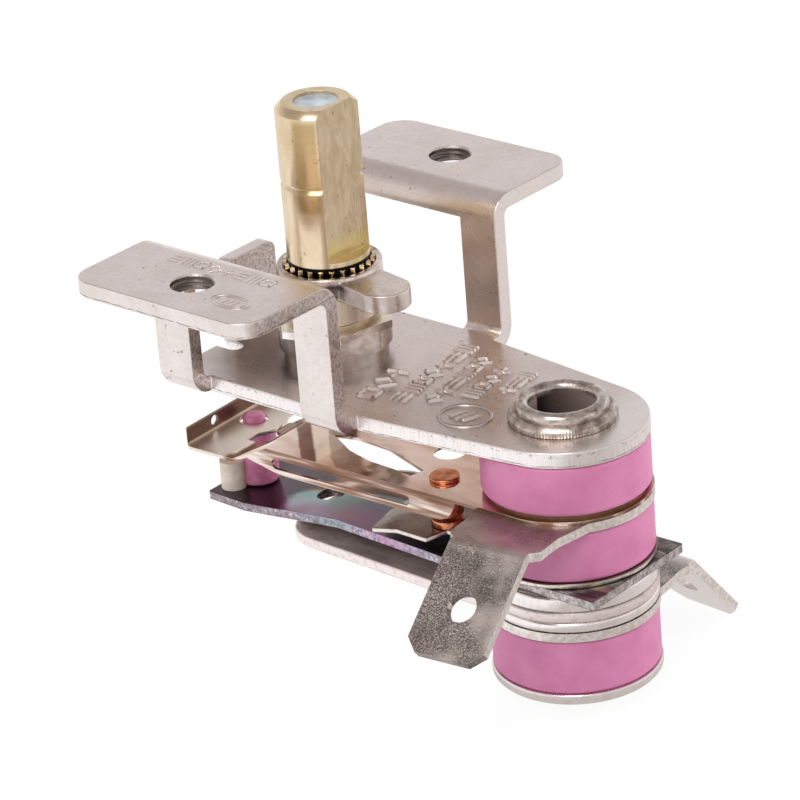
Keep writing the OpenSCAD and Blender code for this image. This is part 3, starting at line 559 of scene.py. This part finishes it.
def contact_alloy():
    m = Mat("contact_alloy", srgb(206, 120, 74), metallic=1.0)
    m.feed("Base Color", m.patches(1.4, 0.35, 0.7, srgb(236, 164, 122), srgb(172, 92, 56)))
    m.rough(m.noise(3, detail=2), 0.16, 0.30)
    m.bump(m.noise(3), 0.008)
    return m.m


def strip_material(name, face, cut, rough):
    """Plated strip with a dark cloud over its faces and another tone on its cut edges."""
    m = Mat(name, face, metallic=1.0)
    dark = dimmed(face, 0.6)
    top = m.over(face, dark, m.patches((0.4, 0.9, 0.9), 0.42, 0.66, 0.8, detail=4, rough=0.6))
    fleck = m.patches(2.2, 0.5, 0.62, 0.3)
    m.feed("Base Color", m.over(m.over(top, cut, m.upright()), dark, fleck))
    m.rough(m.noise(2), *rough)
    m.bump(m.noise(4, rough=0.6), 0.006)
    return m.m


def plain_ceramic(name, tone, dark, rough=0.6, bump=0.01):
    m = Mat(name, tone, roughness=rough)
    m.feed("Base Color", m.patches(1.0, 0.3, 0.65, tone, dark, detail=4))
    m.rough(m.noise(2), rough * 0.85, min(rough * 1.15, 1.0))
    m.bump(m.noise(2.5, detail=4), bump)
    return m.m


BRACKET = bracket_material()
TERMINAL = grainy_terminal()
BRASS = brass()
STEEL = bright_steel("washer_steel", srgb(253, 246, 244), (0.18, 0.32), 0.28, 1.0, bump=0.012)
RIBBED = ribbed_washer()
BUSHING = bushing_material()
RIVET = rivet_material()
COLLAR = collar_material()
ARM = strip_material("arm_steel", srgb(150, 134, 124), srgb(240, 226, 220), (0.16, 0.3))
STRIP = strip_material("strip_steel", srgb(240, 228, 224), srgb(248, 236, 234), (0.42, 0.56))
RING = steatite()
BLADE = tinted_blade()
BIMETAL = oxide_bimetal()
CONTACT = contact_alloy()
BEAD = plain_ceramic("bead_ceramic", srgb(218, 138, 174), srgb(198, 112, 152), rough=0.26, bump=0.004)
CEMENT = plain_ceramic("cement", srgb(224, 214, 202), srgb(196, 184, 166), rough=0.8, bump=0.05)
SEAL = plain_ceramic("seal_compound", srgb(206, 216, 220), srgb(150, 164, 172), rough=0.45, bump=0.03)
SLEEVE = plain_ceramic("sleeve_ceramic", srgb(226, 214, 198), srgb(208, 194, 176))
PIN = plain_ceramic("pin_ceramic", srgb(236, 232, 226), srgb(220, 214, 206), rough=0.5)
SCREW = bright_steel("screw_brass", srgb(222, 190, 122), (0.2, 0.32))
MICA = plain_ceramic("mica", srgb(126, 92, 62), srgb(96, 66, 44), rough=0.35, bump=0.004)

# Each node's material, and the width of its rounded edges in millimetres, or None for none
LOOKS = {
    "mounting_bracket": (BRACKET, 0.14),
    "bushing": (BUSHING, 0.10),
    "spindle": (BRASS, 0.05),
    "stop_collar": (COLLAR, 0.12),
    "calibration_screw": (SCREW, None),
    "socket_seal": (SEAL, None),
    "push_pin": (PIN, None),
    "hollow_rivet": (RIVET, None),
    "rivet_washer": (RIBBED, 0.08),
    "insulating_sleeve": (SLEEVE, None),
    "ring_upper": (RING, None),
    "ring_middle": (RING, None),
    "ring_lower": (RING, None),
    "mica_disc": (MICA, None),
    "contact_blade": (BLADE, 0.04),
    "moving_contact": (CONTACT, 0.08),
    "front_terminal": (TERMINAL, 0.10),
    "fixed_arm": (ARM, 0.08),
    "fixed_contact": (CONTACT, 0.08),
    "bimetal": (BIMETAL, 0.06),
    "bead": (BEAD, 0.35),
    "bead_cement": (CEMENT, None),
    "clamp_washer_upper": (STEEL, 0.22),
    "support_strip": (STRIP, 0.12),
    "clamp_washer_lower": (STEEL, 0.18),
    "rear_terminal": (TERMINAL, 0.10),
    "bottom_washer": (STEEL, 0.10),
}

# Points closer than WELD_MM are joined, faces within FLAT_DEG are merged, edges over SHARP_DEG are rounded
WELD_MM = 0.0002
FLAT_DEG = 0.5
SHARP_DEG = 32


def smooth_nodes():
    """Geometry nodes that forget stored normals and sharp marks, so that the weighted normals start clean."""
    group = bpy.data.node_groups.new("all_smooth", "GeometryNodeTree")
    group.interface.new_socket("Geometry", in_out="INPUT", socket_type="NodeSocketGeometry")
    group.interface.new_socket("Geometry", in_out="OUTPUT", socket_type="NodeSocketGeometry")
    last = group.nodes.new("NodeGroupInput").outputs[0]
    forget = group.nodes.new("GeometryNodeRemoveAttribute")
    forget.inputs["Name"].default_value = "custom_normal"
    group.links.new(last, forget.inputs["Geometry"])
    last = forget.outputs[0]
    for domain in ("FACE", "EDGE"):
        n = group.nodes.new("GeometryNodeSetShadeSmooth")
        n.domain = domain
        group.links.new(last, n.inputs["Geometry"])
        last = n.outputs[0]
    group.links.new(last, group.nodes.new("NodeGroupOutput").inputs[0])
    return group


SMOOTH = smooth_nodes()


def dress(node, material, edge):
    """The node's material, and a small bevel on its edges with normals that keep the flat faces flat."""
    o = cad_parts[node]
    o.data.materials.clear()
    o.data.materials.append(material)
    if edge is None:
        return
    o.modifiers.new("weld", "WELD").merge_threshold = WELD_MM * MM
    flats = o.modifiers.new("flats", "DECIMATE")
    flats.decimate_type = "DISSOLVE"
    flats.angle_limit = math.radians(FLAT_DEG)
    bevel = o.modifiers.new("edges", "BEVEL")
    bevel.width = edge * MM
    bevel.segments = 2
    bevel.limit_method = "ANGLE"
    bevel.angle_limit = math.radians(SHARP_DEG)
    o.modifiers.new("smooth", "NODES").node_group = SMOOTH
    weighted = o.modifiers.new("normals", "WEIGHTED_NORMAL")
    weighted.mode = "FACE_AREA_WITH_ANGLE"
    weighted.weight = 100


for node_name, (look, edge_mm) in LOOKS.items():
    dress(node_name, look, edge_mm)


# Small details


def add_mesh(name, bm, material, body, smooth=True):
    mesh = bpy.data.meshes.new(name)
    bmesh.ops.recalc_face_normals(bm, faces=bm.faces)
    bm.to_mesh(mesh)
    bm.free()
    if smooth:
        mesh.shade_smooth()
    o = bpy.data.objects.new(name, mesh)
    bpy.context.scene.collection.objects.link(o)
    mesh.materials.append(material)
    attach(o, body)


# Thread of the ear holes in millimetres: a ridge whose foot is sunk in the wall
THREAD_WALL_R, THREAD_CREST_R = 1.62, 1.44
THREAD_PITCH = 0.4
THREAD_TOP, THREAD_BOTTOM = -0.12, -1.08
THREAD_HALF_W = 0.16
THREAD_STEPS = 40


def ear_thread(name, y):
    """A helical ridge in an ear's tapped hole."""
    bm = bmesh.new()
    section = ((THREAD_WALL_R, -THREAD_HALF_W), (THREAD_CREST_R, 0.0), (THREAD_WALL_R, THREAD_HALF_W))
    turns = (THREAD_TOP - THREAD_BOTTOM) / THREAD_PITCH
    rows = []
    for i in range(int(turns * THREAD_STEPS) + 1):
        a = 2 * math.pi * i / THREAD_STEPS
        z = THREAD_BOTTOM + THREAD_PITCH * i / THREAD_STEPS
        rows.append([bm.verts.new(Vector((r * math.cos(a), y + r * math.sin(a), z + dz)) * MM)
                     for r, dz in section])
    for a, b in zip(rows, rows[1:]):
        for k in range(3):
            j = (k + 1) % 3
            bm.faces.new((a[k], a[j], b[j], b[k]))
    bm.faces.new(rows[0])
    bm.faces.new(reversed(rows[-1]))
    add_mesh(name, bm, BRACKET, STACK, smooth=False)


def outline(*corners):
    """The sides of a closed shape, as pairs of ends."""
    return tuple(zip(corners, corners[1:] + corners[:1]))


# Plain signs made of straight bars in a cell one unit wide: the ends of each bar, across and up
SIGNS = {
    "square": outline((-0.38, -0.38), (0.38, -0.38), (0.38, 0.38), (-0.38, 0.38)),
    "level bars": tuple(((-0.4, v), (0.4, v)) for v in (0.4, 0.0, -0.4)),
    "diamond": outline((-0.45, 0.0), (0.0, 0.5), (0.45, 0.0), (0.0, -0.5)),
    "upright bars": tuple(((u, -0.5), (u, 0.5)) for u in (-0.3, 0.05, 0.4)),
    "plus": (((-0.42, 0.0), (0.42, 0.0)), ((0.0, -0.45), (0.0, 0.45))),
}
SIGN_KINDS = tuple(SIGNS)

# How far the feet of the raised bars and rings are sunk in the sheet, in millimetres
BAR_FOOT = 0.04
RING_FOOT = 0.03
RING_STEPS = 48


def bar(bm, start, end, z, width, height):
    """A raised bar with sloped sides and ends between two points, its foot sunk in the sheet."""
    start, end = Vector(start), Vector(end)
    along = (end - start).normalized()
    side = Vector((-along.y, along.x))
    rows = []
    for spread, dz in ((width / 2, -BAR_FOOT), (width / 5, height)):
        ends = (start - along * spread, end + along * spread)
        rows.append([bm.verts.new(Vector((*(e + side * spread * k), z + dz)) * MM) for e, k in
                     ((ends[0], -1), (ends[1], -1), (ends[1], 1), (ends[0], 1))])
    foot, top = rows
    bm.faces.new(foot[::-1])
    bm.faces.new(top)
    for k in range(4):
        j = (k + 1) % 4
        bm.faces.new((foot[k], foot[j], top[j], top[k]))


def sign(bm, kind, x, y, z, turn, size, width, height):
    """One sign. Its kind is a number that runs through the signs again and again."""
    c, s = math.cos(math.radians(turn)), math.sin(math.radians(turn))
    for ends in SIGNS[SIGN_KINDS[kind % len(SIGN_KINDS)]]:
        start, end = [(x + size * (u * c - v * s), y + size * (u * s + v * c)) for u, v in ends]
        bar(bm, start, end, z, width, height)


def ring_mark(bm, x, y, z, rx, ry, width, height):
    """A raised oval line, its foot sunk in the sheet."""
    section = ((-width / 2, -RING_FOOT), (0.0, height), (width / 2, -RING_FOOT))
    rows = []
    for i in range(RING_STEPS):
        a = 2 * math.pi * i / RING_STEPS
        c, s = math.cos(a), math.sin(a)
        rows.append([bm.verts.new(Vector((x + (rx + d) * c, y + (ry + d) * s, z + h)) * MM)
                     for d, h in section])
    for a, b in zip(rows, rows[1:] + rows[:1]):
        for k in range(3):
            j = (k + 1) % 3
            bm.faces.new((a[k], b[k], b[j], a[j]))


# Rows of signs on the plate: place of the first sign, how many, and their size
PLATE_ROWS = (
    (6.9, -4.3, 3, 1.7),
    (9.3, -3.7, 7, 1.3),
    (11.4, -2.6, 6, 1.2),
    (13.3, -0.6, 4, 1.2),
    (15.0, 1.3, 3, 1.1),
)
PLATE_ROW_TURN = 99
PLATE_SIGN_STEP = 1.15
PLATE_RING_AT = (15.2, -3.7)

# The row of signs and the oval on the front ear
EAR_ROW_AT = (-4.1, -11.3)
EAR_SIGNS = 8
EAR_SIGN_STEP = 1.25
EAR_OVAL_AT = (4.6, -15.1)


def plate_marks():
    """Rows of plain raised signs on the plate, and a ring with three leaning bars."""
    z, width, height = PLATE_TOP, 0.34, 0.20
    bm = bmesh.new()
    a = math.radians(PLATE_ROW_TURN)
    for r, (x, y, count, size) in enumerate(PLATE_ROWS):
        for i in range(count):
            go = i * size * PLATE_SIGN_STEP
            at = (x + go * math.cos(a), y + go * math.sin(a))
            sign(bm, i * 2 + r, *at, z, PLATE_ROW_TURN, size, width, height)
    x, y = PLATE_RING_AT
    pitch, lean = 0.62, 0.2
    for i in (-1, 0, 1):
        half = 0.75 - 0.2 * abs(i)
        bar(bm, (x + pitch * i + lean, y + half), (x + pitch * i - lean, y - half), z, width, height)
    add_mesh("plate_signs", bm, BRACKET, STACK, smooth=False)
    bm = bmesh.new()
    ring_mark(bm, x, y, z, rx=1.95, ry=1.75, width=width, height=0.17)
    add_mesh("plate_ring", bm, BRACKET, STACK)


def ear_marks():
    """One row of fine signs and a faint double oval with three bars on the front ear."""
    bm = bmesh.new()
    x, y = EAR_ROW_AT
    for i in range(EAR_SIGNS):
        sign(bm, i * 2 + 1, x + i * EAR_SIGN_STEP, y, EAR_TOP, turn=2, size=1.1, width=0.2, height=0.07)
    x, y = EAR_OVAL_AT
    pitch, lean, half = 0.45, 0.08, 0.3
    for i in (-1, 0, 1):
        start, end = (x + pitch * i - lean, y - half), (x + pitch * i + lean, y + half)
        bar(bm, start, end, EAR_TOP, width=0.15, height=0.05)
    add_mesh("ear_signs", bm, BRACKET, STACK, smooth=False)
    bm = bmesh.new()
    for rx, ry, width, height in ((1.7, 0.95, 0.15, 0.05), (1.3, 0.65, 0.13, 0.04)):
        ring_mark(bm, x, y, EAR_TOP, rx, ry, width, height)
    add_mesh("ear_oval", bm, BRACKET, STACK)


ear_thread("ear_thread_left", -EAR_HOLE_Y)
ear_thread("ear_thread_right", EAR_HOLE_Y)
plate_marks()
ear_marks()


# Studio: a white floor and horizon under a warm, darker ceiling, with three soft lamps

WHITE = (1, 1, 1, 1)
FLOOR_HALF = 1.2
FLOOR_GAP = 0.2 * MM


def make_world():
    """White for the camera; other rays see a white horizon and a warm ceiling that darkens with height."""
    world = bpy.data.worlds.new("studio")
    bpy.context.scene.world = world
    world.use_nodes = True
    tree = Tree(world.node_tree)
    tree.nt.nodes.clear()
    height = tree.split(tree.node("TexCoord").outputs["Generated"], "Z")
    ceiling = tree.ramp(height, [
        (0.0, (1.0, 0.99, 0.99)), (0.16, (1.0, 0.99, 0.99)), (0.30, (0.84, 0.82, 0.82)),
        (0.42, (0.72, 0.70, 0.70)), (0.62, (0.50, 0.46, 0.45)), (1.0, (0.46, 0.42, 0.41))])
    dome = tree.shader("Background", ceiling, 1.0)
    white = tree.shader("Background", WHITE, 1.0)
    tree.node("OutputWorld", {"Surface": tree.mix_shaders(tree.straight(), dome, white)})


def make_floor():
    """White floor that keeps a soft shadow. Reflections see it white in front and brown elsewhere."""
    size = FLOOR_HALF
    z = cad_lo.z - FLOOR_GAP
    corners = [(-size, -size, z), (size, -size, z), (size, size, z), (-size, size, z)]
    mesh = bpy.data.meshes.new("floor")
    mesh.from_pydata(corners, [], [(0, 1, 2, 3)])
    floor = bpy.data.objects.new("floor", mesh)
    bpy.context.scene.collection.objects.link(floor)
    mat = bpy.data.materials.new("floor")
    mat.use_nodes = True
    mat.cycles.emission_sampling = "NONE"
    tree = Tree(mat.node_tree)
    tree.nt.nodes.clear()

    # Tones that reflections see, once round from the -X side
    place = tree.node("TexCoord").outputs["Object"]
    angle = tree.maths("ARCTAN2", tree.split(place, "Y"), tree.split(place, "X"))
    share = tree.maths("ADD", tree.maths("DIVIDE", angle, 2 * math.pi), 0.5)
    around = tree.ramp(share, [
        (0.00, (0.95, 0.94, 0.94)), (0.11, (1.0, 1.0, 1.0)), (0.365, (1.0, 1.0, 1.0)),
        (0.40, (0.58, 0.54, 0.52)), (0.49, (0.54, 0.50, 0.48)), (0.58, (0.72, 0.68, 0.66)),
        (0.70, (0.78, 0.74, 0.72)), (0.83, (0.88, 0.86, 0.85)), (1.00, (0.95, 0.94, 0.94))])

    diffuse = tree.shader("BsdfDiffuse", (0.86, 0.85, 0.85, 1))
    kept = tree.mix_shaders(0.88, diffuse, tree.shader("Emission", WHITE, 1.04))
    glossy = tree.node("LightPath").outputs["Is Glossy Ray"]
    mirrored = tree.mix_shaders(glossy, diffuse, tree.shader("Emission", around, 1.0))
    tree.node("OutputMaterial", {"Surface": tree.mix_shaders(tree.straight(), mirrored, kept)})
    mesh.materials.append(mat)


# Lamps: name, place, aim, side of the square in metres, power, and whether reflections show it
LAMP_TINT = (1.0, 0.99, 0.985)
LAMPS = (
    ("key", (0.16, -0.44, 0.54), (0.0, 0.0, -0.015), 0.40, 2.6, True),
    ("fill", (-0.50, -0.20, 0.25), (0.0, 0.0, -0.015), 0.35, 1.0, False),
    ("side", (0.26, 0.42, 0.10), (0.021, 0.0, -0.020), 0.20, 1.5, False),
)


def lamp(name, at, aim, side, power, mirrored):
    data = bpy.data.lights.new(name, "AREA")
    data.shape = "RECTANGLE"
    data.size = data.size_y = side
    data.energy = power
    data.color = LAMP_TINT
    o = bpy.data.objects.new(name, data)
    o.location = at
    o.rotation_mode = "QUATERNION"
    o.rotation_quaternion = (Vector(aim) - Vector(at)).to_track_quat("-Z", "Y")
    o.visible_glossy = mirrored
    bpy.context.scene.collection.objects.link(o)


make_world()
make_floor()
for row in LAMPS:
    lamp(*row)
